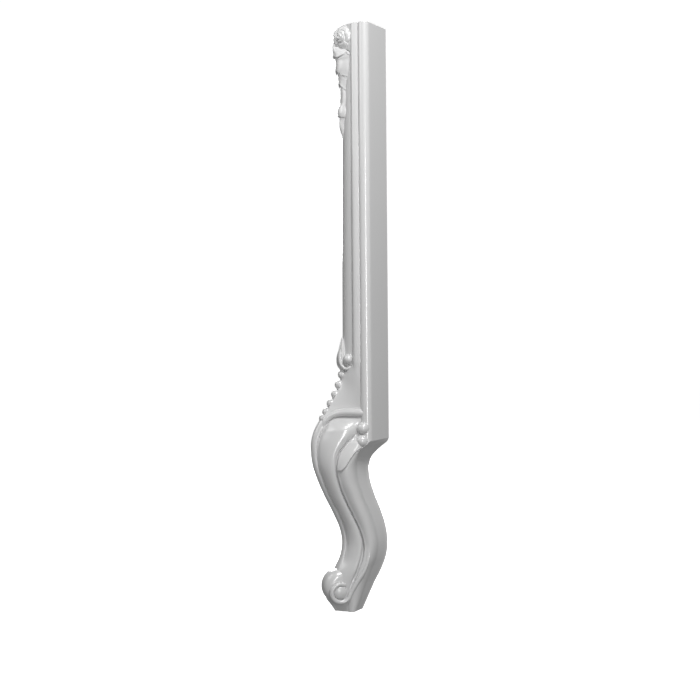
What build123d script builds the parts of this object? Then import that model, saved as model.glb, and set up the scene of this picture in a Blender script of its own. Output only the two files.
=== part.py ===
import os
from math import cos, radians, sin, sqrt

from build123d import *

# Driving dimensions in millimetres
TOTAL_HEIGHT = 850.0
POST_SIDE = 60.0
APRON_UNDERSIDE = 250.0  # height at which the plain inner faces end
SOLE_SIDE = 30.0
SOLE_FORWARD = 15.0  # sole's centre ahead of the post's axis, in X and in Y
BEAD_WIDTH = 15.4
BEAD_PROUD = 1.6  # bead's crest ahead of the post's face
REED_DEPTH = 2.0  # panel's edge below the reeds' crests
PEARL_RADIUS = 7.0
BALL_RADIUS = 9.6
HOOD_RADIUS = 5.9
RIDGE_RADIUS = 3.2
TOE_RADIUS = 26.0
TOE_WIDTH = 33.0
VOLUTE_RADIUS = 14.8  # to the middle of the scroll's ridge
HEAD_HEIGHT = 36.0  # plain head behind the rose, above the panel

WIDE = POST_SIDE / 60.0  # widths follow the post
LOW = APRON_UNDERSIDE / 250.0  # heights of the knee and leg follow the inner faces' end
HALF = POST_SIDE / 2.0
ROOT2 = sqrt(2.0)
FRONT = Vector(-1, -1, 0).normalized()
RIGHT = Vector(1, -1, 0).normalized()
UP = Vector(0, 0, 1)


def at(p, q, z):
    """Point p ahead of the post's axis along the diagonal, q to its right, at height z."""
    return Vector(SOLE_FORWARD + (q - p) / ROOT2, SOLE_FORWARD - (p + q) / ROOT2, z)


def line_of(points, side):
    """Points of a carved line on one side of the knee or leg."""
    return [at(p * WIDE, side * q * WIDE, z * LOW) for p, q, z in points]


def bow(start, middle, end, cuts):
    """Chisel cuts along a curve from start through middle to end; the start is left out."""
    pole = middle * 2 - (start + end) * 0.5
    turns = [cut / cuts for cut in range(1, cuts + 1)]
    return [start * (1 - t) ** 2 + pole * (2 * t * (1 - t)) + end * t ** 2 for t in turns]


def turned(points):
    """Solid turned from (radius, height) points, which start and end on its axis."""
    return revolve(Plane.XZ * make_face(Polyline(*points, close=True)), Axis.Z)


def bead(p, q, z, radius, sides=12, bands=6):
    """Small ball of flat chisel cuts around an upright axis."""
    centre = at(p, q, z)
    poles = [Vertex(*(centre - UP * radius)), Vertex(*(centre + UP * radius))]
    rings = []
    for band in range(1, bands):
        angle = radians(180 * band / bands - 90)
        rings.append(Plane(centre + UP * radius * sin(angle)) * RegularPolygon(radius * cos(angle), sides))
    return loft([poles[0], *rings, poles[1]], ruled=True)


def husk(head, point, radius, broad=1.0, lobes=5):
    """Fluted bud with a blunt head and a sharp point, one lobe of it facing the front."""
    axis = point - head
    stem = Plane(origin=head, x_dir=FRONT - axis * (FRONT.dot(axis) / axis.dot(axis)), z_dir=axis)

    def ring(along, reach):
        star = []
        for corner in range(2 * lobes):
            angle, length = 180 * corner / lobes, reach * radius * (1.0 if corner % 2 == 0 else 0.82)
            star.append((length * cos(radians(angle)), broad * length * sin(radians(angle))))
        return stem.offset(along * axis.length) * make_face(Polyline(*star, close=True))

    rings = [ring(0.0, 0.45), ring(0.14, 0.9), ring(0.36, 1.0), ring(0.68, 0.66)]
    return loft(rings + [Vertex(*point)], ruled=True)


def moulding(points, radius, rail=None):
    """Ridge along a curve; its ends are buried in the wood, and a rail keeps its cuts from twisting."""
    path = Spline(*points)
    return sweep(Plane(origin=path @ 0, z_dir=path % 0) * RegularPolygon(radius, 8), path, binormal=rail)


# Post: plain inner faces, corner beads, reeds and the panel between them
ARC_RADIUS = 43.5 * WIDE
ARC_CENTRE = ARC_RADIUS - HALF
PANEL_FRONT = 25.2 * WIDE
PANEL_FOOT = 354.0 * LOW


def on_arc(angle, proud, side, z):
    """Point on the rounded front corner, by its angle from the diagonal."""
    reach = ARC_RADIUS + proud
    p = reach * cos(radians(angle)) - ARC_CENTRE * ROOT2
    return at(p, side * reach * sin(radians(angle)), z)


def bead_points(side, z):
    """Start, crest and end of a corner bead, from the plain inner face to the groove beside the reed."""
    end = HALF - BEAD_WIDTH
    corners = [(HALF, 3.0 - HALF), (0.5 * (HALF + end), -HALF - BEAD_PROUD), (end, 1.8 - HALF)]
    return [at((-u - v) / ROOT2, side * (u - v) / ROOT2, z) for u, v in corners]


def post_section(z, with_reeds, front):
    edges, ends = [], []
    for side in (1, -1):
        start, crest, end = bead_points(side, z)
        edges += [Line(at(-HALF * ROOT2, 0, z), start), ThreePointArc(start, crest, end)]
        if with_reeds:
            panel_edge = on_arc(29.6, -REED_DEPTH, side, z)
            edges.append(ThreePointArc(end, on_arc(36.8, 0.3 * WIDE, side, z), panel_edge))
            end = panel_edge
        ends.append(end)
    return make_face(edges + [ThreePointArc(ends[0], at(front, 0, z), ends[1])])


PANEL_TOP = TOTAL_HEIGHT - HEAD_HEIGHT
post = extrude(post_section(PANEL_FOOT, True, PANEL_FRONT), PANEL_TOP - PANEL_FOOT, dir=UP)
post += extrude(post_section(PANEL_TOP, False, PANEL_FRONT), HEAD_HEIGHT, dir=UP)
post += extrude(post_section(APRON_UNDERSIDE, False, 0.5 * HALF), PANEL_FOOT - APRON_UNDERSIDE, dir=UP)

# Flare: the rounded corner sweeps forward to the knee
# height, front of the ridge, depth of the hollow beside it
FLARE_STEPS = [
    (358, 25.6, -3.5),
    (342, 27.5, -3.0),
    (326, 33.0, -1.5),
    (310, 42.0, 1.0),
    (294, 51.5, 3.0),
    (282, 60.0, 4.0),
]


def flare_section(height, front, hollow):
    shoulder_p, shoulder_q, edge_p, edge_q = front - 1.0, 6.5, 8.6, 31.7
    mid_p = 0.5 * (shoulder_p + edge_p) - hollow
    mid_q = 0.5 * (shoulder_q + edge_q) - 0.6 * hollow
    outline = [(shoulder_p, shoulder_q, height), (mid_p, mid_q, height), (edge_p, edge_q, height)]
    left, right = line_of(outline, -1), line_of(outline, 1)
    corners = [left[0]] + bow(left[0], at(front * WIDE, 0, height * LOW), right[0], 2)
    corners += bow(*right, 4) + [left[2]] + bow(*reversed(left), 4)[:-1]
    return make_face(Polyline(*corners, close=True))


flare = loft([flare_section(*step) for step in FLARE_STEPS])

# Knee and leg: sections of the S-curve from the hood down to the sole
# height, rim front, crease (p, q), groove (p, q), side corner (p, q), back
LEG_STEPS = [
    (292, 53.5, 47, 7.0, 11, 28.5, 0, 30.0, -8),
    (278, 64.0, 54, 8.0, 12, 31.0, 1, 32.5, -8),
    (263, 72.0, 63, 8.0, 15, 30.0, 3, 33.0, -8),
    (248, 75.9, 69.5, 8.0, 30.5, 28.5, 10, 35.5, -8),
    (232, 76.2, 71, 8.0, 42.5, 27.5, 22, 37.5, -8),
    (214, 73.9, 69, 8.0, 46, 27.0, 30.5, 37.5, -10),
    (194, 67.4, 62.5, 8.0, 43.2, 25.5, 29, 36.0, -11.8),
    (170, 57.2, 53, 7.8, 34.5, 23.5, 20, 34.0, -18.5),
    (142, 43.2, 39, 7.5, 21, 22.8, 8, 32.5, -29.5),
    (118, 33.2, 29.5, 7.0, 10, 23.2, -1, 31.0, -36.6),
    (97, 30.4, 27, 6.5, 5.2, 23.4, -5, 30.5, -38.9),
    (78, 34.0, 30.5, 7.5, 8, 23.4, -2, 29.5, -36.8),
    (60, 42.0, 38, 12.0, 14, 22.5, 5, 27.0, -30.2),
    (40, 49.0, 44, 13.0, 23, 20.0, 11, 24.0, -19.2),
    (18, 49.0, 45, 8.0, 27, 18.0, 16, 21.4, -8.5),
]
sole_p, sole_h = SOLE_FORWARD * ROOT2 / WIDE, SOLE_SIDE / ROOT2 / WIDE
SOLE_STEP = (0, sole_p + sole_h, sole_p + 0.84 * sole_h, 0.16 * sole_h, sole_p + 0.27 * sole_h,
             0.72 * sole_h, sole_p - 0.03 * sole_h, 0.95 * sole_h, sole_p - sole_h)


def leg_section(height, front, crease_p, crease_q, groove_p, groove_q, side_p, side_q, back):
    bulge = 0.02 + 0.14 * min(1.0, height / 90.0)
    cheek_p = 0.5 * (crease_p + groove_p) + bulge * (groove_q - crease_q)
    cheek_q = 0.5 * (crease_q + groove_q) + bulge * (crease_p - groove_p)
    turn_p, turn_q = side_p - 0.4 * (side_p - back), 0.64 * side_q
    outline = [(crease_p, crease_q), (cheek_p, cheek_q), (groove_p, groove_q), (side_p, side_q),
               (turn_p, turn_q), (back + 3.0, 3.6)]
    left, right = [line_of([(p, q, height) for p, q in outline], side) for side in (-1, 1)]
    rim, heel = at(front * WIDE, 0, height * LOW), at(back * WIDE, 0, height * LOW)
    corners = [left[0]] + bow(left[0], rim, right[0], 4)
    corners += bow(*right[0:3], 4) + bow(*right[2:5], 5) + [right[5]]
    corners += bow(right[5], heel, left[5], 2) + [left[4]]
    corners += bow(*reversed(left[2:5]), 5) + bow(*reversed(left[0:3]), 4)[:-1]
    return make_face(Polyline(*corners, close=True))


leg = loft([leg_section(*step) for step in LEG_STEPS + [SOLE_STEP]])

# Cove under the plain inner faces: height, back, side corner (p, q)
COVE_STEPS = [
    (250, -42.4, -0.4, 41.8),
    (245, -39.6, 5.0, 40.0),
    (239, -31.5, 12.0, 38.5),
    (230, -21.0, 20.0, 37.0),
    (220, -13.2, 26.0, 34.0),
    (204, -8.0, 26.0, 26.0),
]


def cove_section(height, back, side_p, side_q):
    front_p, front_q = side_p + 9, side_q - 12
    outline = [(back, 0), (side_p, side_q), (front_p, front_q), (front_p, -front_q), (side_p, -side_q)]
    return make_face(Polyline(line_of([(p, q, height) for p, q in outline], 1), close=True))


cove = loft([cove_section(*step) for step in COVE_STEPS])

# Toe: a roll across the front with a volute on each side
toe_end, toe_round = 0.5 * TOE_WIDTH, 0.3 * TOE_WIDTH
half_roll = [Vector(TOE_RADIUS - toe_round, toe_end)]
half_roll += bow(half_roll[0], Vector(TOE_RADIUS - 0.29 * toe_round, toe_end - 0.29 * toe_round),
                 Vector(TOE_RADIUS, toe_end - toe_round), 3)
roll = [Vector(0, toe_end)] + half_roll
roll += [Vector(point.X, -point.Y) for point in reversed(roll)]
toe = Plane(origin=at(35.0 * WIDE, 0, 36.5 * LOW), z_dir=RIGHT) * turned(roll)
EYE_P, EYE_Z, CHEEK_Q = 39.3, 30.0, 0.565 * TOE_WIDTH


def volute(side):
    """Drum and domed eye of the scroll on one side of the toe."""
    drum, eye = VOLUTE_RADIUS + 1.2, 0.56 * VOLUTE_RADIUS
    outline = [Vector(0, CHEEK_Q + 3.6)]
    outline += bow(outline[0], Vector(0.72 * eye, CHEEK_Q + 2.2), Vector(eye, CHEEK_Q), 2)
    outline += [Vector(drum, CHEEK_Q), Vector(drum, 2.0), Vector(0, 2.0)]
    return Plane(origin=at(EYE_P * WIDE, 0, EYE_Z * LOW), z_dir=side * RIGHT) * turned(outline)


def strap_ridge(side):
    """Ridge of the back strap, which runs down to the toe and winds round the eye of its scroll."""
    path = [(-5, 22, 106), (-2.4, 28.8, 86), (5, 27.2, 62), (16, 23.4, 43)]
    for step, rise in enumerate([2.4, 1.7, 1.0, 1.0, 1.0, 1.0, 0.6, -3.2]):
        turn, reach = radians(190 + 44 * step), VOLUTE_RADIUS * (1.0 - 0.035 * step)
        path.append((EYE_P + reach * cos(turn), CHEEK_Q + rise, EYE_Z + reach * sin(turn)))
    points = line_of(path, side)
    return moulding(points, RIDGE_RADIUS, Spline(*[point + side * HALF * RIGHT for point in points]))


def hood(side):
    """Moulding over the knee, from the corner bead to the front rim."""
    path = [(1, 32.5, 290.5), (16, 26.3, 291), (34, 15.6, 290.5), (49, 9, 285), (62, 1, 262)]
    return moulding(line_of(path, side), HOOD_RADIUS)


def leaf_edge(side):
    """Turned edge of the leaf below the corner balls."""
    path = [(6, 33, 246), (21, 37.8, 232), (31, 37.0, 219), (40, 25, 203)]
    return moulding(line_of(path, side), 2.2 * WIDE)


def corner_balls(side):
    upper = Pos(at(7.2 * WIDE, side * 33.0 * WIDE, 268.6 * LOW)) * Sphere(BALL_RADIUS)
    return upper + Pos(at(8.9 * WIDE, side * 33.0 * WIDE, 251.3 * LOW)) * Sphere(0.96 * BALL_RADIUS)


def berry(side):
    """Berry beside the leaf where the panel ends."""
    return bead(23.0 * WIDE, side * 13.6 * WIDE, 367.9 * LOW, 7.6 * WIDE)


def berry_scroll(side):
    """Ribbon that curls down from the leaf's front and under the berry."""
    path = [(28, 2, 388), (32.5, 4, 372), (31.5, 6.5, 360), (26, 10.5, 354), (17, 16, 357)]
    points = line_of(path, side)
    return moulding(points, 2.6 * WIDE)


# Pearls down the flare: p and height
PEARLS = [(27.7, 345), (32.6, 330.2), (38.2, 316.3), (45.0, 303), (51.8, 290.6), (56.8, 281.4)]
pearls = [bead(p * WIDE, 0, height * LOW, PEARL_RADIUS) for p, height in PEARLS]

# Leaf that stands on the pearls, up the foot of the panel
panel_leaf = husk(at(26.0 * WIDE, 0, 349 * LOW), at(26.5 * WIDE, 0, 402 * LOW), 9.0 * WIDE)

# Rose at the head of the panel: petals around the axis, their number, reach, radius, lean and front
ROSE_Z = TOTAL_HEIGHT - 18.0
WHORLS = [(5, 14.0, 12.0, 0.5, 31.0), (3, 6.2, 8.2, 0.35, 35.5)]


def petal(angle, reach, radius, lean, front):
    spread = RIGHT * cos(radians(angle)) + UP * sin(radians(angle))
    face = Plane(origin=at(front * WIDE, 0, ROSE_Z) + reach * WIDE * spread, z_dir=FRONT + lean * spread)
    rings = [(-12.0, 0.8), (-1.5, 1.0), (0.0, 0.92), (1.2, 0.55)]
    return loft([face.offset(d * WIDE) * RegularPolygon(r * radius * WIDE, 10) for d, r in rings], ruled=True)


rose = Plane(origin=at(22.0 * WIDE, 0, ROSE_Z), z_dir=FRONT) * Cone(21.0 * WIDE, 18.0 * WIDE, 10.0 * WIDE)
for number, reach, radius, lean, front in WHORLS:
    for turn in range(number):
        rose += petal(54 + 360 * turn / number, reach, radius, lean, front)
rose += bead(35.0 * WIDE, 0, ROSE_Z, 5.0 * WIDE)

# Husks hanging below the rose: head and point below the top, depth, breadth over depth, axis p
HUSKS = [
    (29, 56, 14.0, 1.1, 22.5),
    (44, 84, 12.5, 1.45, 20.5),
    (75, 104, 9.4, 1.2, 21.0),
    (119, 143, 9.4, 1.1, 22.0),
    (137, 170, 7.0, 0.8, 22.5),
]
husks = []
for head, point, depth, broad, p in HUSKS:
    top, bottom = at(p * WIDE, 0, TOTAL_HEIGHT - head), at(p * WIDE, 0, TOTAL_HEIGHT - point)
    husks.append(husk(top, bottom, depth * WIDE, broad))


def calyx(side):
    """Leaf that spreads from under the rose to the edge of the panel."""
    top = at(24 * WIDE, side * 6 * WIDE, TOTAL_HEIGHT - 30)
    return husk(top, at(16 * WIDE, side * 24 * WIDE, TOTAL_HEIGHT - 56), 8.6 * WIDE, 1.5)


# One piece of wood
carved_leg = post + flare + leg + cove + toe
for carving in (volute, strap_ridge, hood, leaf_edge, corner_balls, berry, berry_scroll, calyx):
    carved_leg += [carving(1), carving(-1)]
for carving in pearls + [panel_leaf, rose] + husks:
    carved_leg += carving
carved_leg -= Pos(0, 0, TOTAL_HEIGHT + 25) * Box(8 * POST_SIDE, 8 * POST_SIDE, 50)

os.makedirs("parts", exist_ok=True)
export_step(carved_leg, "parts/carved_leg.step")
print("carved_leg", round(carved_leg.volume), "mm3", len(carved_leg.solids()), "solid, valid", carved_leg.is_valid)
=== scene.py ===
import bmesh
import bpy
import numpy as np
from mathutils import Matrix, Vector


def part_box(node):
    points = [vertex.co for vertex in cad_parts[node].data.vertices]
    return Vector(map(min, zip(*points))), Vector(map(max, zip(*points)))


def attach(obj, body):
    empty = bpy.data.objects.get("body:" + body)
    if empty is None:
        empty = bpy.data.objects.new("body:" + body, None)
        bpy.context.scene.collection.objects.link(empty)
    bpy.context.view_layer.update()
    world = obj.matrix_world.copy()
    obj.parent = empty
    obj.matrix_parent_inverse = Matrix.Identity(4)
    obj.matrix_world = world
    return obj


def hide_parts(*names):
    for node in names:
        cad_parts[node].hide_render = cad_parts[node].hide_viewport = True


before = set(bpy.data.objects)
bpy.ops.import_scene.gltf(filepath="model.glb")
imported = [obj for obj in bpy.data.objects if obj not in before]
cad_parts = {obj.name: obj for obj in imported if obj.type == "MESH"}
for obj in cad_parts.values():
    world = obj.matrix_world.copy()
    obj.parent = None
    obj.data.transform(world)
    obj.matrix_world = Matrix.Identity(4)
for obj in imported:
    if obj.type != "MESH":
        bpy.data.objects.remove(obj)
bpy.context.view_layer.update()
lowCorner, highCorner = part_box("carved_leg")
drawnHeight = 850.0  # height of the leg in the millimetres used below
mm = (highCorner.z - lowCorner.z) / drawnHeight  # metres for each of those millimetres
rootTwo = np.sqrt(2.0)
soleForward = 15.0  # sole's centre ahead of the post's axis, in X and in Y
weldDistance = 2e-6  # points closer than this, in metres, become one
ballPoints = {"rows": 25, "around": 40}
print("frame loaded, one drawing millimetre is", round(mm, 6), "m")


def place(p, q, z):
    # p runs ahead of the post's axis along the diagonal, q across it and z up, all in millimetres
    p, q, z = np.broadcast_arrays(np.asarray(p, float), np.asarray(q, float), np.asarray(z, float))
    return np.stack([soleForward + (q - p) / rootTwo, soleForward - (p + q) / rootTwo, z], -1) * mm


def through(knots, values, where):
    # smooth curve through listed points: on each span a cubic whose end slopes come from the neighbours
    knots, values = np.asarray(knots, float), np.asarray(values, float)
    slopes = np.gradient(values, knots, axis=0)
    k = np.clip(np.searchsorted(knots, where) - 1, 0, len(knots) - 2)
    span = (knots[k + 1] - knots[k]).reshape(k.shape + (1,) * (values.ndim - 1))
    t = np.clip((where - knots[k]), 0, knots[k + 1] - knots[k]).reshape(span.shape) / span
    start, end = values[k] * (1 + 2 * t) * (1 - t) ** 2, values[k + 1] * t ** 2 * (3 - 2 * t)
    return start + end + span * (slopes[k] * t * (1 - t) ** 2 - slopes[k + 1] * t ** 2 * (1 - t))


def ease(x):
    # smooth step from 0 at x = 0 to 1 at x = 1
    x = np.clip(x, 0, 1)
    return x * x * (3 - 2 * x)


def bell(x):
    # bell curve, 1 at x = 0 and near 0 beyond x = 2
    return np.exp(-x ** 2)


def arch(start, pole, end, t):
    # parabola from start to end, drawn towards the pole, at the fractions t
    return start * (1 - t) ** 2 + 2 * pole * t * (1 - t) + end * t ** 2


def bend(start, middle, end, t):
    # parabola from start through middle to end, at the fractions t
    return arch(start, 2 * middle - 0.5 * (start + end), end, t)


def wholeRing(p, q, z):
    # a half section and its mirror image, as one closed ring
    ringP = np.concatenate([p, p[:, -2:0:-1]], 1)
    ringQ = np.concatenate([q, -q[:, -2:0:-1]], 1)
    return place(ringP, ringQ, z[:, None])


def alongPath(path, across, out, flutes=0, fluteDepth=0.0, count=48, outward=(1.0, 0.0, 0.0), line=None):
    # oval ring carried along a path of (p, q, z) points; across and out are its half sizes at each point,
    # a cosine of the angle adds flutes, and line = (angle, depth, width) cuts a bell-shaped groove along it
    path, outward = np.asarray(path, float), np.asarray(outward, float)
    tangent = np.gradient(path, axis=0)
    tangent /= np.linalg.norm(tangent, axis=1, keepdims=True)
    outDirection = outward - tangent * (tangent @ outward)[:, None]
    outDirection /= np.linalg.norm(outDirection, axis=1, keepdims=True)
    sideDirection = np.cross(tangent, outDirection)
    angle = np.linspace(0, 2 * np.pi, count, endpoint=False)
    swell = 1 + fluteDepth * (np.cos(flutes * angle) - 1) * 0.5
    if line:
        lineAngle, lineDepth, lineWidth = line
        swell = swell - lineDepth * bell(np.sin(0.5 * (angle - lineAngle)) / (0.5 * lineWidth))
    ring = (sideDirection[:, None] * (across[:, None] * np.sin(angle) * swell)[..., None]
            + outDirection[:, None] * (out[:, None] * np.cos(angle) * swell)[..., None])
    points = path[:, None] + ring
    return place(points[..., 0], points[..., 1], points[..., 2])


def ballAt(p, q, z, radius):
    # ball from two angles, its axis upright
    polar = np.linspace(0, np.pi, ballPoints["rows"])[:, None]
    angle = np.linspace(0, 2 * np.pi, ballPoints["around"], endpoint=False)
    level = radius * np.sin(polar)
    return place(p + level * np.cos(angle), q + level * np.sin(angle), z + radius * np.cos(polar))


def buildPiece(name, surfaces, material, sharpAngle=50.0):
    # one mesh from closed grids of points (rows, columns around, 3); each grid's end rows are capped
    vertices, faces, offset = [], [], 0
    for points in surfaces:
        rows, columns = points.shape[:2]
        index = np.arange(rows * columns).reshape(rows, columns) + offset
        turn = np.roll(index, -1, 1)
        quads = np.stack([index[:-1], turn[:-1], turn[1:], index[1:]], -1).reshape(-1, 4)
        vertices.append(points.reshape(-1, 3))
        faces += quads.tolist() + [index[0, ::-1].tolist(), index[-1].tolist()]
        offset += rows * columns
    mesh = bpy.data.meshes.new(name)
    mesh.from_pydata(np.concatenate(vertices).tolist(), [], faces)
    work = bmesh.new()
    work.from_mesh(mesh)
    bmesh.ops.remove_doubles(work, verts=work.verts, dist=weldDistance)
    bmesh.ops.recalc_face_normals(work, faces=work.faces)
    work.to_mesh(mesh)
    work.free()
    mesh.polygons.foreach_set("use_smooth", np.ones(len(mesh.polygons), bool))
    mesh.set_sharp_from_angle(angle=np.radians(sharpAngle))
    mesh.materials.append(material)
    piece = bpy.data.objects.new(name, mesh)
    bpy.context.collection.objects.link(piece)
    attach(piece, "root")
    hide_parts("carved_leg")
    print("piece", name, "has", sum(len(f.vertices) - 2 for f in mesh.polygons), "triangles")


# Painted wood: light grey satin paint, a little uneven, with the fine grain showing through
paint = {
    "grey": 0.60, "uneven": 0.035, "cloudScale": 9.0, "cloudDetail": 4.0,
    "grainScale": (420, 420, 14), "grainDetail": 3.0, "grainStrength": 0.05, "grainHeight": 0.001,
    "roughness": 0.32, "coat": 0.6, "coatRoughness": 0.17, "coatIndex": 1.9,
}


def makePaint():
    material = bpy.data.materials.new("paintedWood")
    material.use_nodes = True
    nodes, links = material.node_tree.nodes, material.node_tree.links
    shader = nodes["Principled BSDF"]
    coordinates = nodes.new("ShaderNodeTexCoord")
    cloud = nodes.new("ShaderNodeTexNoise")
    cloud.inputs["Scale"].default_value = paint["cloudScale"]
    cloud.inputs["Detail"].default_value = paint["cloudDetail"]
    ramp = nodes.new("ShaderNodeMapRange")
    ramp.inputs["To Min"].default_value = paint["grey"] * (1 - paint["uneven"])
    ramp.inputs["To Max"].default_value = paint["grey"] * (1 + paint["uneven"])
    stretch = nodes.new("ShaderNodeMapping")
    stretch.inputs["Scale"].default_value = paint["grainScale"]  # grain runs up the leg
    grain = nodes.new("ShaderNodeTexNoise")
    grain.inputs["Scale"].default_value = 1.0
    grain.inputs["Detail"].default_value = paint["grainDetail"]
    bump = nodes.new("ShaderNodeBump")
    bump.inputs["Strength"].default_value = paint["grainStrength"]
    bump.inputs["Distance"].default_value = paint["grainHeight"]
    shader.inputs["Roughness"].default_value = paint["roughness"]
    shader.inputs["Coat Weight"].default_value = paint["coat"]
    shader.inputs["Coat Roughness"].default_value = paint["coatRoughness"]
    shader.inputs["Coat IOR"].default_value = paint["coatIndex"]
    links.new(coordinates.outputs["Object"], cloud.inputs["Vector"])
    links.new(cloud.outputs["Fac"], ramp.inputs["Value"])
    links.new(ramp.outputs["Result"], shader.inputs["Base Color"])
    links.new(coordinates.outputs["Object"], stretch.inputs["Vector"])
    links.new(stretch.outputs["Vector"], grain.inputs["Vector"])
    links.new(grain.outputs["Fac"], bump.inputs["Height"])
    links.new(bump.outputs["Normal"], shader.inputs["Normal"])
    return material


paintedWood = makePaint()
print("paint mixed")

# Post with its corner beads, reeds and sunk panel; lengths in millimetres, angles in degrees
post = {
    "half": 30.0, "underside": 250.0, "top": drawnHeight, "topRound": 0.6, "cornerRadius": 43.5,
    "beadWidth": 15.4, "beadRise": 4.3, "beadRound": 9.0, "beadProud": 1.5, "beadTurn": 166.0,
    "reedSwell": 1.4, "reedPower": 0.7, "reedMargin": 4.0, "reedFade": 16.0,
    "panelBase": 350.0, "panelFoot": 352.0, "panelRound": 15.0, "panelHead": 815.0, "headRound": 9.0,
    "panelAngle": 30.2, "panelDepth": 2.0, "panelEdge": 1.4, "panelMargin": 1.0,
    "panelFootFront": 26.6, "panelTopFront": 23.4,
    "grooveDepth": 1.0, "grooveWidth": 1.1, "grooveShift": 0.3,
}
cornerCentre = (post["cornerRadius"] - post["half"]) * rootTwo  # behind the post's axis, on the diagonal
postPoints = {"face": 8, "bead": 30, "front": 72}
# rows up the post: close together round the panel's foot and at the head, wide apart elsewhere
postRows = {
    "lowTo": 338.0, "lowCount": 45, "footFrom": 338.6, "footTo": 384.0, "footStep": 0.6,
    "highFrom": 384.5, "highTo": 800.0, "highCount": 50, "headFrom": 801.0, "headStep": 0.8,
}
# Flare that sweeps forward to the knee
flare = {
    "ridgeRise": 0.8, "ridgeHalf": 7.0, "ridgeFrom": 0.88, "hollowAside": 0.6,
    "blendFrom": 342.0, "blendOver": 18.0,
}
# height, front of the flare's ridge, depth of the hollow beside it
flareSteps = np.array([
    (282, 61.0, 4.0), (294, 53.0, 3.2), (310, 43.4, 1.8), (326, 34.8, 0.0), (342, 29.2, -2.0),
    (356, 26.4, -3.2), (380, 25.0, -3.5),
])


def panelFront(z):
    # front of the panel's middle, which leans back evenly towards the top of the post
    lean = (z - post["panelBase"]) / (post["top"] - post["panelBase"])
    return post["panelFootFront"] + (post["panelTopFront"] - post["panelFootFront"]) * lean


def beadSide():
    # plain face from the back corner, then the bead: a quarter circle round the corner up to its crest and
    # part of an oval from there down to the reed; u and v run along the post's sides
    half, corner = post["half"], post["beadRound"]
    crest = half + post["beadProud"]
    flat = np.linspace(0, 1, postPoints["face"], endpoint=False)
    faceU, faceV = half + 0 * flat, half + (corner - crest - half) * flat
    turn = np.radians(np.linspace(0, post["beadTurn"], postPoints["bead"]))
    wide = np.where(turn < 0.5 * np.pi, corner, post["beadWidth"] - corner)
    rise = np.where(turn < 0.5 * np.pi, corner, post["beadRise"])
    beadU, beadV = half - corner + wide * np.cos(turn), rise * (1 - np.sin(turn)) - crest
    u, v = np.concatenate([faceU, beadU]), np.concatenate([faceV, beadV])
    return (-u - v) / rootTwo, (u - v) / rootTwo


def roundFront(z, angle, endAngle, startReach):
    # rounded corner: an arc whose reach eases out to meet the bead, with a reed that swells beside the bead
    # as a power of a sine and dies out at its foot
    reach, panelAngle, margin = post["cornerRadius"], post["panelAngle"], post["reedMargin"]
    reedSpan = np.clip((angle - panelAngle) / (endAngle - panelAngle), 0, 1)
    reedFade = ease((z - post["panelBase"]) / post["reedFade"])
    swell = (startReach - reach) * ease((angle - panelAngle - margin) / (endAngle - panelAngle - margin))
    swell = swell + post["reedSwell"] * reedFade * np.sin(np.pi * reedSpan) ** post["reedPower"]
    turn = np.radians(angle)
    return (reach + swell) * np.cos(turn) - cornerCentre, (reach + swell) * np.sin(turn)


def flareFront(z, c, endP, endQ):
    # flare: a parabola from the bead to the ridge, hollowed by the amount in the table, and a quarter of an
    # oval over the ridge
    front, hollow = np.hsplit(through(flareSteps[:, 0], flareSteps[:, 1:], z[:, 0]), 2)
    shoulderP, shoulderQ = front - flare["ridgeRise"], flare["ridgeHalf"]
    midP = 0.5 * (shoulderP + endP) - hollow
    midQ = 0.5 * (shoulderQ + endQ) - flare["hollowAside"] * hollow
    t = np.clip(c / flare["ridgeFrom"], 0, 1)
    onRidge = c > flare["ridgeFrom"]
    ridge = 0.5 * np.pi * np.clip((c - flare["ridgeFrom"]) / (1 - flare["ridgeFrom"]), 0, 1)
    p = bend(endP, midP, shoulderP, t) + onRidge * flare["ridgeRise"] * np.sin(ridge)
    return p, np.where(onRidge, shoulderQ * np.cos(ridge), bend(endQ, midQ, shoulderQ, t))


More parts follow.
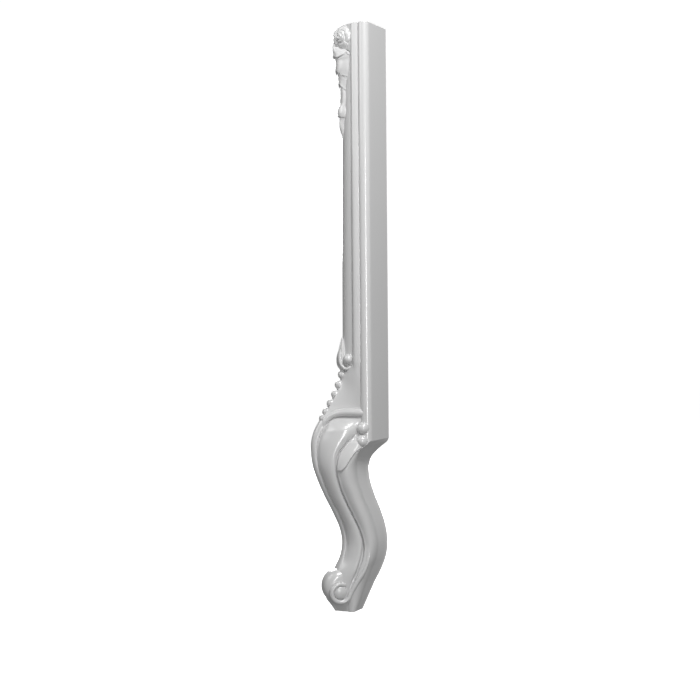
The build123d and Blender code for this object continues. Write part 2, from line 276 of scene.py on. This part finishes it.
def postHalf(z):
    # one half of the post's section at the heights z, from the back corner round to the middle of the front
    z = z[:, None]
    sideP, sideQ = beadSide()
    backP, backQ = sideP + 0 * z, sideQ + 0 * z
    endP, endQ = backP[:, -1:], backQ[:, -1:]
    c = np.linspace(0, 1, postPoints["front"])[1:]  # 0 at the bead, 1 at the middle of the front
    endAngle = np.degrees(np.arctan2(endQ, endP + cornerCentre))
    angle = endAngle * (1 - c)
    upperP, upperQ = roundFront(z, angle, endAngle, np.hypot(endP + cornerCentre, endQ))
    lowerP, lowerQ = flareFront(z, c, endP, endQ)
    blend = ease((z - flare["blendFrom"]) / flare["blendOver"])
    raisedP, raisedQ = lowerP + (upperP - lowerP) * blend, lowerQ + (upperQ - lowerQ) * blend
    # panel: a flatter curve between the reeds, where p falls with the square of q
    edgeReach, edgeTurn = post["cornerRadius"] - post["panelDepth"], np.radians(post["panelAngle"])
    edgeP, edgeQ = edgeReach * np.cos(edgeTurn) - cornerCentre, edgeReach * np.sin(edgeTurn)
    middleP = panelFront(z)
    panelP = middleP + (edgeP - middleP) * np.clip(upperQ / edgeQ, 0, 1) ** 2
    # its width narrows as a quarter of an oval at the foot and at the head
    depth = np.clip((post["panelFoot"] + post["panelRound"] - z) / post["panelRound"], 0, 1)
    depth = np.maximum(depth, np.clip((z - post["panelHead"] + post["headRound"]) / post["headRound"], 0, 1))
    width = post["panelAngle"] * np.sqrt(np.clip(1 - depth ** 2, 0, 1))
    sunk = (z > post["panelFoot"] - post["panelMargin"]) * (z < post["panelHead"] + post["panelMargin"])
    inside = ease((width - angle) / post["panelEdge"] + 0.5) * sunk
    frontP, frontQ = raisedP + (panelP - raisedP) * inside, raisedQ + (upperQ - raisedQ) * inside
    # groove round the panel: a bell curve of the angle from its edge
    line = post["grooveDepth"] * bell((angle - width + post["grooveShift"]) / post["grooveWidth"]) * sunk
    frontP, frontQ = frontP - line * np.cos(np.radians(angle)), frontQ - line * np.sin(np.radians(angle))
    return np.concatenate([backP, frontP], 1), np.concatenate([backQ, frontQ], 1)


def makePost():
    topEdge = post["top"] - post["topRound"]
    low = np.linspace(post["underside"], postRows["lowTo"], postRows["lowCount"])
    foot = np.arange(postRows["footFrom"], postRows["footTo"], postRows["footStep"])
    high = np.linspace(postRows["highFrom"], postRows["highTo"], postRows["highCount"])
    head = np.arange(postRows["headFrom"], topEdge, postRows["headStep"])
    z = np.concatenate([low, foot, high, head, [topEdge]])
    p, q = postHalf(z)
    turn = np.radians([30, 60, 90])  # rounded top edge: a quarter circle, made by shrinking the last section
    shrink = 1 - post["topRound"] * (1 - np.cos(turn))[:, None] / post["half"]
    p = np.concatenate([p, p[-1:] * shrink])
    q = np.concatenate([q, q[-1:] * shrink])
    z = np.concatenate([z, post["top"] - post["topRound"] * (1 - np.sin(turn))])
    buildPiece("postBody", [wholeRing(p, q, z)], paintedWood, sharpAngle=38)


makePost()

# Knee and leg: sections of the S-curve, from the sole up to the hood
# height, rim front, crease (p, q), groove (p, q), side corner (p, q), back
legSteps = np.array([
    (0, 42.4, 39.0, 3.4, 27.0, 15.2, 20.6, 20.2, 0.0),
    (8, 47.6, 44.0, 4.8, 27, 16.4, 18.6, 20.7, -3.6),
    (18, 55.0, 49.5, 8.5, 27, 18.0, 16, 21.4, -8.5),
    (40, 49.0, 44, 13.0, 23, 20.0, 11, 24.0, -19.2),
    (60, 42.0, 38, 12.0, 14, 22.5, 5, 27.0, -30.2),
    (78, 34.0, 30.5, 7.5, 8, 23.4, -2, 29.5, -36.8),
    (97, 30.4, 27, 6.5, 5.2, 23.4, -5, 30.5, -38.9),
    (118, 33.2, 29.5, 7.0, 10, 23.2, -1, 31.0, -36.6),
    (142, 43.2, 39, 7.5, 21, 22.8, 8, 32.5, -29.5),
    (170, 57.2, 53, 7.8, 34.5, 23.5, 20, 34.0, -18.5),
    (194, 67.4, 62.5, 8.0, 43.2, 25.5, 29, 36.0, -11.8),
    (214, 73.9, 69, 8.0, 46, 27.0, 30.5, 37.5, -10),
    (232, 76.2, 71, 8.0, 42.5, 27.5, 22, 37.5, -8),
    (248, 75.9, 69.5, 8.0, 30.5, 28.5, 10, 35.5, -8),
    (263, 72.0, 63, 8.0, 15, 30.0, 3, 33.0, -8),
    (278, 64.0, 54, 8.0, 12, 31.0, 1, 32.5, -8),
    (292, 53.5, 47, 7.0, 11, 28.5, 0, 30.0, -8),
])
legTop = legSteps[-1, 0]
legPoints = {"rim": 16, "cheek": 40, "strap": 44, "inner": 9, "heel": 6}
# From and To: heights where a form starts and ends; Over and End: lengths over which it grows and fades
leg = {
    "rowStep": 1.15, "leastBulge": 0.02, "cheekBulge": 0.17, "bulgeOver": 90.0, "hoodHollow": 0.26,
    "hoodFrom": 264.0, "creaseDepth": 2.2, "creaseWidth": 4.2, "creaseFrom": 70.0, "creaseOver": 40.0,
    "strapReach": 0.4, "strapNarrow": 0.64, "strapCrowding": 1.25, "heelLength": 3.0, "heelHalf": 3.6,
    "grooveDepth": 1.7, "grooveWidth": 1.1, "grooveFrom": 30.0, "grooveOver": 25.0, "grooveTo": 262.0,
    "grooveEnd": 12.0, "footGroove": 0.8, "footGrooveTo": 110.0, "footGrooveOver": 25.0,
    "strapLip": 0.9, "lipAside": 3.0, "lipWidth": 1.5,
}
# fold where the cheek turns to the side: height, its place between the crease and the groove
cheekFold = np.array([
    (0, 0.74), (150, 0.74), (215, 0.78), (232, 0.80), (243, 0.74), (256, 0.60), (266, 0.48), (274, 0.46),
    (292, 0.50),
])
# raised leaf at the head of the strap
strapLeaf = {
    "rise": 2.4, "edgeWidth": 1.6, "lip": 0.7, "lipAside": 2.0, "lipWidth": 1.0, "from": 206.0, "over": 3.0,
    "to": 255.0, "end": 8.0, "aside": 1.5, "asideOver": 3.0, "leastQ": 15.0,
}
# height, p of the leaf's edge
leafEdge = np.array([
    (204, 46.0), (206.5, 42.5), (209, 38.5), (213, 35.0), (218, 31.8), (223, 28.8), (230, 23.8), (237, 17.6),
    (241, 11.0), (250, 0.0),
])


def legSection(z):
    # smooth half section at the heights z, from the middle of the rim round to the back edge
    front, creaseP, creaseQ, grooveP, grooveQ, sideP, sideQ, back = np.hsplit(
        through(legSteps[:, 0], legSteps[:, 1:], z), 8)
    fold = through(cheekFold[:, 0], cheekFold[:, 1], z)[:, None]
    z = z[:, None]
    t = np.linspace(0, 0.5 * np.pi, legPoints["rim"])
    rimP, rimQ = creaseP + (front - creaseP) * np.cos(t), creaseQ * np.sin(t)  # quarter of an oval
    # cheek: a parabola that swells out between the crease and the groove, fullest at the fold and hollow
    # under the hood
    t = np.linspace(0, 1, legPoints["cheek"])[1:]
    tuck = leg["hoodHollow"] * ease((z - leg["hoodFrom"]) / (legTop - leg["hoodFrom"]))
    bulge = 2 * (leg["leastBulge"] + leg["cheekBulge"] * np.clip(z / leg["bulgeOver"], 0, 1) - tuck)
    poleP = creaseP + fold * (grooveP - creaseP) + bulge * (grooveQ - creaseQ)
    poleQ = creaseQ + fold * (grooveQ - creaseQ) + bulge * (creaseP - grooveP)
    cheekP, cheekQ = arch(creaseP, poleP, grooveP, t), arch(creaseQ, poleQ, grooveQ, t)
    # strap: a broad round corner from the groove past the side corner, with more points near the groove
    turnP, turnQ = sideP - leg["strapReach"] * (sideP - back), leg["strapNarrow"] * sideQ
    t = np.linspace(0, 1, legPoints["strap"])[1:] ** leg["strapCrowding"]
    strapP, strapQ = bend(grooveP, sideP, turnP, t), bend(grooveQ, sideQ, turnQ, t)
    # straight inner side, then a quarter of an oval over the back edge
    t = np.linspace(0, 1, legPoints["inner"])[1:]
    innerP = turnP + (back + leg["heelLength"] - turnP) * t
    innerQ = turnQ + (leg["heelHalf"] - turnQ) * t
    t = np.linspace(0, 0.5 * np.pi, legPoints["heel"])[1:]
    heelP = back + leg["heelLength"] - leg["heelLength"] * np.sin(t)
    heelQ = leg["heelHalf"] * np.cos(t) + 0 * back
    p = np.concatenate([rimP, cheekP, strapP, innerP, heelP], 1)
    return p, np.concatenate([rimQ, cheekQ, strapQ, innerQ, heelQ], 1)


def legHalf(z):
    # the smooth section, carved along its outward normal
    p, q = legSection(z)
    dp, dq = np.gradient(p, axis=1), np.gradient(q, axis=1)
    length = np.hypot(dp, dq) + 1e-9  # never quite nothing, as it divides below
    travel = np.hypot(np.diff(p, axis=1, prepend=p[:, :1]), np.diff(q, axis=1, prepend=q[:, :1])).cumsum(1)
    creaseColumn = legPoints["rim"] - 1
    grooveColumn = creaseColumn + legPoints["cheek"] - 1
    fromCrease = travel - travel[:, creaseColumn:creaseColumn + 1]
    fromGroove = travel - travel[:, grooveColumn:grooveColumn + 1]
    edge = through(leafEdge[:, 0], leafEdge[:, 1], z)[:, None]
    z = z[:, None]
    # groove and the strap's lip beside it: bell curves, and the groove opens towards the foot
    deeper = 1 + leg["footGroove"] * ease((leg["footGrooveTo"] - z) / leg["footGrooveOver"])
    carve = -leg["grooveDepth"] * deeper * bell(fromGroove / (leg["grooveWidth"] * deeper))
    carve = carve + leg["strapLip"] * bell((fromGroove - leg["lipAside"]) / leg["lipWidth"])
    carve = carve * ease((z - leg["grooveFrom"]) / leg["grooveOver"])
    carve = carve * ease((leg["grooveTo"] - z) / leg["grooveEnd"])
    # crease: half a bell curve on the cheek's side
    hollow = leg["creaseDepth"] * bell(fromCrease / leg["creaseWidth"]) * (fromCrease >= 0)
    carve = carve - hollow * ease((z - leg["creaseFrom"]) / leg["creaseOver"])
    # leaf: a smooth step at its edge with a bell-shaped lip behind it
    onLeaf = ease((z - strapLeaf["from"]) / strapLeaf["over"])
    onLeaf = onLeaf * ease((strapLeaf["to"] - z) / strapLeaf["end"])
    onLeaf = onLeaf * ease((fromGroove - strapLeaf["aside"]) / strapLeaf["asideOver"])
    onLeaf = onLeaf * (q > strapLeaf["leastQ"])
    lip = strapLeaf["lip"] * bell((p - edge - strapLeaf["lipAside"]) / strapLeaf["lipWidth"])
    leafRelief = strapLeaf["rise"] * ease((p - edge) / strapLeaf["edgeWidth"]) + lip
    carve = carve + leafRelief * onLeaf
    return p + carve * dq / length, np.maximum(q - carve * dp / length, 0.0)


def makeLeg():
    z = np.arange(0, legTop, leg["rowStep"])
    p, q = legHalf(z)
    q[:, 0], q[:, -1] = 0.0, 0.0
    buildPiece("legBody", [wholeRing(p, q, z)], paintedWood, sharpAngle=60)


makeLeg()

# Cove under the plain inner faces
cove = {"rows": 60, "sidePoints": 24, "middlePoints": 6, "lipForward": 9.0, "lipInward": 12.0}
# height, back, side corner (p, q)
coveSteps = np.array([
    (204, -8.0, 26.0, 26.0), (212, -11.5, 27.0, 31.0), (220, -13.6, 25.5, 34.0), (230, -21.2, 19.5, 36.6),
    (239, -31.6, 11.5, 38.3), (245, -39.7, 5.0, 40.0), (250, -42.4, -0.2, 41.6),
])


def makeCove():
    # straight from the back edge to the side corner, then slanting in under the leaf and across to the middle
    z = np.linspace(coveSteps[0, 0], coveSteps[-1, 0], cove["rows"])
    back, sideP, sideQ = np.hsplit(through(coveSteps[:, 0], coveSteps[:, 1:], z), 3)
    t = np.linspace(0, 1, cove["sidePoints"])
    p = np.concatenate([back + (sideP - back) * t, sideP + cove["lipForward"] * t[1:]], 1)
    q = np.concatenate([sideQ * t, sideQ - cove["lipInward"] * t[1:]], 1)
    across = np.linspace(1, 0, cove["middlePoints"])[1:]
    p = np.concatenate([p, p[:, -1:] + 0 * across], 1)
    q = np.concatenate([q, q[:, -1:] * across], 1)
    buildPiece("cove", [wholeRing(p, q, z)], paintedWood, sharpAngle=40)


makeCove()

# Toe roll
toe = {
    "p": 35.0, "z": 36.5, "radius": 26.0, "halfWidth": 17.0, "round": 12.5, "edgePoints": 14, "around": 110,
}


def makeToe():
    # a roll turned about the diagonal's cross axis, with a quarter circle at each end
    t = np.linspace(0, 0.5 * np.pi, toe["edgePoints"])
    radius = toe["radius"] - toe["round"] + toe["round"] * np.sin(t)
    width = toe["halfWidth"] - toe["round"] + toe["round"] * np.cos(t)
    radius = np.concatenate([[0.0], radius, radius[::-1], [0.0]])
    width = np.concatenate([width[:1], width, -width[::-1], -width[:1]])
    angle = np.linspace(0, 2 * np.pi, toe["around"], endpoint=False)
    p, z = toe["p"] + radius[:, None] * np.cos(angle), toe["z"] + radius[:, None] * np.sin(angle)
    buildPiece("toeRoll", [place(p, width[:, None], z)], paintedWood, sharpAngle=60)


makeToe()

# Volutes on the toe's sides, and the ridges that run down the back straps and wind round them
volute = {
    "p": 39.3, "z": 30.0, "cheek": 18.8, "core": 4.0, "drum": 16.0, "eye": 10.0, "eyeHeight": 4.6,
    "rings": 60, "around": 160,
}
ridge = {
    "radius": 3.3, "thin": 0.25, "thinOver": 0.42, "ring": 15.0, "startAngle": 190.0, "turns": 0.856,
    "closing": 0.245, "rise": 1.0, "startRise": 1.4, "startOver": 0.3, "endDrop": 4.2, "endFrom": 0.88,
    "ringKnots": 12, "rows": 260,
}
# p, q, height
strapPath = [(-5, 24.0, 112), (-3.6, 27.6, 95), (-1.2, 28.9, 80), (5, 27.4, 62), (16, 23.6, 43)]


def voluteDisc(side):
    # drum with a domed eye: its height is half an oval over the eye's radius and flat beyond it
    r = np.concatenate([np.linspace(0, volute["drum"], volute["rings"]), [volute["drum"], 0.0]])[:, None]
    angle = np.linspace(0, 2 * np.pi, volute["around"], endpoint=False)
    q = volute["cheek"] + volute["eyeHeight"] * np.sqrt(np.clip(1 - (r / volute["eye"]) ** 2, 0, 1))
    q[-2:] = volute["core"]
    return place(volute["p"] + r * np.cos(angle), side * q, volute["z"] + r * np.sin(angle))


def strapRidge(side):
    # round ridge on a smooth path: down the strap, then about the eye at a reach that shrinks with the turn
    step = np.linspace(0, 1, ridge["ringKnots"])
    turn = np.radians(ridge["startAngle"] + 360 * ridge["turns"] * step)
    reach = ridge["ring"] * (1 - ridge["closing"] * step)
    rise = ridge["rise"] + ridge["startRise"] * ease(1 - step / ridge["startOver"])
    rise = rise - ridge["endDrop"] * ease((step - ridge["endFrom"]) / (1 - ridge["endFrom"]))
    ringP, ringZ = volute["p"] + reach * np.cos(turn), volute["z"] + reach * np.sin(turn)
    knots = np.concatenate([strapPath, np.stack([ringP, volute["cheek"] + rise, ringZ], 1)])
    along = np.concatenate([[0], np.cumsum(np.linalg.norm(np.diff(knots, axis=0), axis=1))])
    s = np.linspace(0, 1, ridge["rows"])
    path = through(along / along[-1], knots, s)
    path[:, 1] *= side
    radius = ridge["radius"] * (ridge["thin"] + (1 - ridge["thin"]) * ease(s / ridge["thinOver"]))
    return alongPath(path, radius, radius, outward=(0.0, side, 0.0))


buildPiece("volutes", [voluteDisc(side) for side in (1, -1)], paintedWood)
buildPiece("strapRidges", [strapRidge(side) for side in (1, -1)], paintedWood)

# Hood moulding over the knee
hood = {
    "radius": 5.9, "taper": 0.45, "taperFrom": 0.4, "lineAngle": 0.35, "lineDepth": 0.11, "lineWidth": 0.22,
    "forward": 0.5, "upward": 0.3, "rows": 140, "around": 72,
}
# p, q, height
hoodPath = np.array([
    (2, 32.6, 290.5), (10, 29.6, 290.8), (20, 24.0, 291), (30, 18.1, 291), (39.5, 13.0, 289.5),
    (49, 9.2, 285), (58, 5.4, 275), (63, 2.0, 262),
])


def hoodRidge(side):
    # round moulding from the corner bead over the knee, thinner as it joins the rim, with a line cut along it
    s = np.linspace(0, 1, hood["rows"])
    path = through(np.linspace(0, 1, len(hoodPath)), hoodPath, s)
    path[:, 1] *= side
    radius = hood["radius"] * (1 - hood["taper"] * ease((s - hood["taperFrom"]) / (1 - hood["taperFrom"])))
    line = (side * hood["lineAngle"], hood["lineDepth"], hood["lineWidth"])
    outward = (hood["forward"], side, hood["upward"])
    return alongPath(path, radius, radius, count=hood["around"], outward=outward, line=line)


buildPiece("hoods", [hoodRidge(side) for side in (1, -1)], paintedWood)

# Pair of balls at each of the hood's corners: p, q, height, radius
cornerBalls = [(7.2, 33.0, 268.6, 9.6), (8.9, 33.2, 250.4, 9.3)]
ballGrids = [ballAt(p, side * q, z, r) for p, q, z, r in cornerBalls for side in (1, -1)]
buildPiece("cornerBalls", ballGrids, paintedWood)

# Pearls down the flare's ridge: p and height of each
pearls = {
    "radius": 7.0,
    "rows": [(27.7, 345), (32.6, 330.2), (38.2, 316.3), (45.0, 303), (51.8, 290.6), (56.8, 281.4)],
}
buildPiece("pearls", [ballAt(p, 0.0, z, pearls["radius"]) for p, z in pearls["rows"]], paintedWood)

# Leaf where the panel ends
footLeaf = {
    "p": 26.0, "lean": 2.0, "foot": 348.0, "length": 53.0, "half": 8.4, "breadth": 1.1, "lowness": 0.62,
    "fullness": 0.8, "tip": 0.01, "flutes": 6, "fluteDepth": 0.22, "rows": 60,
}


def panelLeaf():
    # oval ring up the panel, whose half width follows a power of a sine, fullest below the middle
    s = np.linspace(0, 1, footLeaf["rows"])
    p, z = footLeaf["p"] + footLeaf["lean"] * s, footLeaf["foot"] + footLeaf["length"] * s
    path = np.stack([p, 0 * s, z], 1)
    swell = np.sin(np.pi * s ** footLeaf["lowness"]) ** footLeaf["fullness"]
    width = footLeaf["half"] * swell + footLeaf["tip"]
    return alongPath(path, footLeaf["breadth"] * width, width, footLeaf["flutes"], footLeaf["fluteDepth"])


buildPiece("panelLeaf", [panelLeaf()], paintedWood)

# Berry on each side of the leaf, with a ribbon that curls down from the leaf's front and under the berry
berry = {
    "p": 22.8, "q": 13.6, "z": 367.9, "radius": 7.4,
    "ribbon": 2.7, "ribbonThin": 0.7, "thinOver": 0.5, "lean": 0.6, "rows": 70,
}
# p, q, height
ribbonPath = np.array([(27, 2, 389), (32.6, 4, 373), (31.8, 6.5, 360.5), (26, 10.5, 354), (17, 16, 356.5)])


def berryScroll(side):
    # round ribbon on a smooth path, thinner where it starts
    s = np.linspace(0, 1, berry["rows"])
    path = through(np.linspace(0, 1, len(ribbonPath)), ribbonPath, s)
    path[:, 1] *= side
    radius = berry["ribbon"] * (berry["ribbonThin"] + (1 - berry["ribbonThin"]) * ease(s / berry["thinOver"]))
    return alongPath(path, radius, radius, outward=(1.0, berry["lean"] * side, 0.0))


berryBalls = [ballAt(berry["p"], side * berry["q"], berry["z"], berry["radius"]) for side in (1, -1)]
buildPiece("berries", berryBalls + [berryScroll(side) for side in (1, -1)], paintedWood)

# Rose at the head of the post, turned from the diagonal towards one side
rose = {
    "p": 25.6, "q": 8.0, "z": 832.4, "facing": 36.6, "radius": 19.6, "scallop": 0.2, "saw": 1.7, "dish": 1.2,
    "fall": 4.0, "fallPower": 2.2, "lowest": -6.0, "depth": 21.0, "coneRadius": 0.62, "coneShare": 0.5,
    "topGap": 0.3, "rings": 130, "around": 260,
}
# petals, lip radius, lip height, base radius, phase in turns
whorls = [(5, 11.0, 6.2, 19.6, 0.12), (3, 6.6, 8.8, 11.0, 0.03), (2, 3.0, 10.6, 6.2, 0.20)]


def roseHead():
    # polar surface: each whorl is a cup, dished inside its scalloped lip and falling in a round curve outside
    # it; the highest whorl shows, a saw wave round the axis makes each petal overlap the next, and the back
    # is a cone
    r = np.linspace(0, rose["radius"], rose["rings"])[:, None]
    angle = np.linspace(0, 2 * np.pi, rose["around"], endpoint=False)
    height = np.full((len(r), len(angle)), rose["lowest"])
    for petals, lip, rise, base, phase in whorls:
        turn = np.mod(petals * (angle / (2 * np.pi) + phase), 1.0)
        scallop = 1 - rose["scallop"] + rose["scallop"] * np.sqrt(np.sin(np.pi * turn))
        edge, foot = lip * scallop, base * (0.5 + 0.5 * scallop)
        top = rise + rose["saw"] * (turn - 0.5)
        inside = top - rose["dish"] * (1 - (r / edge) ** 2)
        past = np.maximum(r - edge, 0) / (foot - edge)
        outside = top - (rise + rose["fall"]) * past ** rose["fallPower"]
        height = np.maximum(height, np.where(r < edge, inside, outside))
    r = np.concatenate([r, [[rose["coneRadius"] * rose["radius"]], [0.0]]])
    height = np.concatenate([height, np.full((2, len(angle)), -rose["coneShare"] * rose["depth"])])
    height[-1] = -rose["depth"]
    across = r * np.cos(angle)
    turned = np.radians(rose["facing"])
    p = rose["p"] + height * np.cos(turned) - across * np.sin(turned)
    q = rose["q"] + height * np.sin(turned) + across * np.cos(turned)
    return place(p, q, np.minimum(rose["z"] + r * np.sin(angle), post["top"] - rose["topGap"]))


buildPiece("rose", [roseHead()], paintedWood, sharpAngle=80)

# Garland of leaves and buds below the rose: height, front, half width
garlandSteps = np.array([
    (678, 23.6, 0.6), (685, 24.8, 2.4), (692, 25.6, 3.8), (698, 27.4, 4.8), (704, 29.0, 5.4),
    (710, 29.4, 5.8), (715, 29.2, 7.2), (719, 29.8, 9.6), (723, 30.8, 10.8), (728, 31.0, 10.8),
    (732, 30.4, 9.8), (737, 28.0, 10.6), (745, 27.5, 11.6), (753, 27.3, 11.6), (761, 28.0, 11.0),
    (768, 29.0, 12.0), (774, 29.8, 13.5), (780, 31.4, 15.5), (786, 33.0, 17.6), (793, 33.8, 18.6),
    (800, 34.2, 18.8), (804, 35.8, 20.0), (809, 36.8, 20.5), (814, 37.8, 13.0), (818, 38.4, 7.8),
    (822, 37.8, 5.2), (828, 36.4, 3.4), (834, 34.8, 2.0), (837, 33.0, 0.8),
])
garland = {
    "from": 679.0, "to": 836.5, "rowStep": 0.55, "around": 110, "back": 12.0, "sink": 1.4,
    "bendDepth": 7.5, "bendWidth": 21.6, "fullness": 0.66, "edgeFullness": 0.35,
    "edgeRise": 1.5, "edgeDrop": 1.7, "riseLength": 6.0, "dropLength": 2.2,
}
# lower edges that droop to the sides: height in the middle, droop, width of the droop, its power, strength
droopingEdges = [(786.0, 10.5, 13.0, 1.1, 1.0), (767.5, 9.5, 9.0, 1.2, 0.8), (720.0, 0.3, 1.0, 1.0, 0.8)]
collar = {"z": 803.5, "rise": 3.5, "middle": 8.0}  # edge under the rose, lowest at its middle
sideLeaf = {"aside": 15.0, "slant": 0.49, "z": 814.4, "from": 801.0, "over": 4.0}  # leaf on each side of it


def overlap(d):
    # relief beside the edge of a leaf that lies over the next one: raised on its own side, d > 0, cut in
    # beyond it, and dying out with the distance on both
    rise = garland["edgeRise"] * np.exp(-np.maximum(d, 0) / garland["riseLength"]) * (d > 0)
    return rise - garland["edgeDrop"] * np.exp(np.minimum(d, 0) / garland["dropLength"]) * (d <= 0)


def makeGarland():
    # dome laid on the panel, which falls back with the square of q, with the leaf edges cut into it
    z = np.arange(garland["from"], garland["to"], garland["rowStep"])
    front, half = np.hsplit(through(garlandSteps[:, 0], garlandSteps[:, 1:], z), 2)
    z = z[:, None]
    c = np.sin(np.linspace(-0.5 * np.pi, 0.5 * np.pi, garland["around"]))
    q = half * c
    side = np.abs(q)
    ground = panelFront(z) - garland["sink"]
    dome = np.clip(1 - c ** 2, 0, 1)
    p = ground - garland["bendDepth"] * (q / garland["bendWidth"]) ** 2
    p = p + (front - ground) * dome ** garland["fullness"]
    # each edge is a curve of height against the distance from the middle
    relief = overlap(z - collar["z"] - collar["rise"] * ((side - collar["middle"]) / collar["middle"]) ** 2)
    for edgeHeight, droop, width, power, strength in droopingEdges:
        relief = relief + strength * overlap(z - edgeHeight + droop * (side / width) ** power)
    slanting = overlap(side - sideLeaf["aside"] - sideLeaf["slant"] * (sideLeaf["z"] - z))
    relief = relief + slanting * ease((z - sideLeaf["from"]) / sideLeaf["over"])
    p = p + relief * dome ** garland["edgeFullness"]
    ringP = np.concatenate([p, np.full((len(z), 2), garland["back"])], 1)
    ringQ = np.concatenate([q, 0.5 * half, -0.5 * half], 1)
    buildPiece("garland", [place(ringP, ringQ, z)], paintedWood, sharpAngle=80)


makeGarland()

# Studio: pale floor that curves up into a backdrop all round; lengths in metres
studio = {
    "floor": 0.9, "floorRoughness": 0.8, "glow": 0.80, "reach": 4.0, "round": 1.5, "tall": 6.0, "aim": 0.45,
    "world": 0.215, "curvePoints": 24, "around": 96,
}
# azimuth, height, distance, width, length and power of each light
lamps = {
    "keyLight": (48.0, 1.45, 0.95, 0.45, 0.45, 15.6),
    "fillLight": (-40.0, 1.20, 1.20, 0.80, 0.80, 3.9),
    "stripLight": (42.0, 0.45, 1.60, 0.14, 0.90, 6.8),
    "backLight": (215.0, 1.20, 2.00, 1.20, 1.20, 34.0),
}


def makeFloor():
    material = bpy.data.materials.new("paleFloor")
    material.use_nodes = True
    shader = material.node_tree.nodes["Principled BSDF"]
    shader.inputs["Base Color"].default_value = (studio["floor"],) * 3 + (1,)
    shader.inputs["Roughness"].default_value = studio["floorRoughness"]
    shader.inputs["Emission Color"].default_value = (1, 1, 1, 1)
    shader.inputs["Emission Strength"].default_value = studio["glow"]
    return material


def makeStudio():
    # profile of flat floor, quarter circle and wall, turned about the upright axis
    turn = np.linspace(0, 0.5 * np.pi, studio["curvePoints"])
    wall = studio["reach"] + studio["round"]
    run = np.concatenate([[0.0], studio["reach"] + studio["round"] * np.sin(turn), [wall]])[:, None]
    rise = np.concatenate([[0.0], studio["round"] * (1 - np.cos(turn)), [studio["tall"]]])[:, None]
    angle = np.linspace(0, 2 * np.pi, studio["around"], endpoint=False)
    points = np.stack(np.broadcast_arrays(run * np.cos(angle), run * np.sin(angle), rise), -1)
    index = np.arange(points.shape[0] * points.shape[1]).reshape(points.shape[:2])
    beside = np.roll(index, -1, 1)
    faces = np.stack([index[:-1], index[1:], beside[1:], beside[:-1]], -1).reshape(-1, 4)
    mesh = bpy.data.meshes.new("backdrop")
    mesh.from_pydata(points.reshape(-1, 3).tolist(), [], faces.tolist())
    mesh.polygons.foreach_set("use_smooth", np.ones(len(mesh.polygons), bool))
    mesh.materials.append(makeFloor())
    backdrop = bpy.data.objects.new("backdrop", mesh)
    bpy.context.collection.objects.link(backdrop)
    backdrop.visible_diffuse = False  # the white sweep lends the leg no light of its own
    backdrop.visible_glossy = False
    backdrop.visible_shadow = False  # nor does it keep the world's light from it


def standing(right, up, forward, spot):
    # matrix of a light or camera at a spot, from its three directions
    return Matrix(np.vstack([np.column_stack([right, up, -forward, spot]), [0, 0, 0, 1]]).tolist())


def areaLight(name, azimuth, height, distance, wide, tall, power):
    # oblong light that faces the middle of the leg
    a = np.radians(azimuth)
    spot = np.array([np.sin(a) * distance, -np.cos(a) * distance, height])
    toward = np.array([0, 0, studio["aim"]]) - spot
    toward /= np.linalg.norm(toward)
    right = np.cross(toward, [0, 0, 1.0])
    right /= np.linalg.norm(right)
    data = bpy.data.lights.new(name, "AREA")
    data.shape = "RECTANGLE"
    data.energy, data.size, data.size_y = power, wide, tall
    lamp = bpy.data.objects.new(name, data)
    lamp.matrix_world = standing(right, np.cross(right, toward), toward, spot)
    lamp.visible_camera = False
    bpy.context.collection.objects.link(lamp)


# Camera: almost side-on to the leg's diagonal, level with its middle; millimetres and degrees
camera = {
    "azimuth": 28.57, "pitch": -1.45, "roll": -0.49, "distance": 1837.7, "aside": -15.5, "eye": 427.0,
    "lens": 64.54, "sensor": 36.0,
}


def makeCamera():
    # stands off from the post's axis at the azimuth, then tips by the pitch and turns by the roll
    a, pitch, roll = np.radians([camera["azimuth"], camera["pitch"], camera["roll"]])
    outward = np.array([np.sin(a), -np.cos(a), 0])
    right = np.array([np.cos(a), np.sin(a), 0])
    up = np.array([0, 0, 1.0])
    axis = np.array([soleForward, soleForward, 0.0])
    spot = (axis + outward * camera["distance"] + right * camera["aside"] + up * camera["eye"]) * mm
    forward = -outward * np.cos(pitch) + up * np.sin(pitch)
    over = np.cross(right, forward)
    turnedRight = right * np.cos(roll) + over * np.sin(roll)
    turnedUp = over * np.cos(roll) - right * np.sin(roll)
    data = bpy.data.cameras.new("camera")
    data.lens, data.sensor_width = camera["lens"], camera["sensor"]
    data.dof.use_dof = False
    eye = bpy.data.objects.new("camera", data)
    eye.matrix_world = standing(turnedRight, turnedUp, forward, spot)
    bpy.context.collection.objects.link(eye)
    bpy.context.scene.camera = eye


def makeWorld():
    world = bpy.data.worlds.new("studioWorld")
    world.use_nodes = True
    background = world.node_tree.nodes["Background"]
    background.inputs["Color"].default_value = (1, 1, 1, 1)
    background.inputs["Strength"].default_value = studio["world"]
    bpy.context.scene.world = world


makeCamera()
makeStudio()
for lampName, lampValues in lamps.items():
    areaLight(lampName, *lampValues)
makeWorld()
bpy.context.scene.view_settings.view_transform = "Standard"
print("camera, floor and lights made")
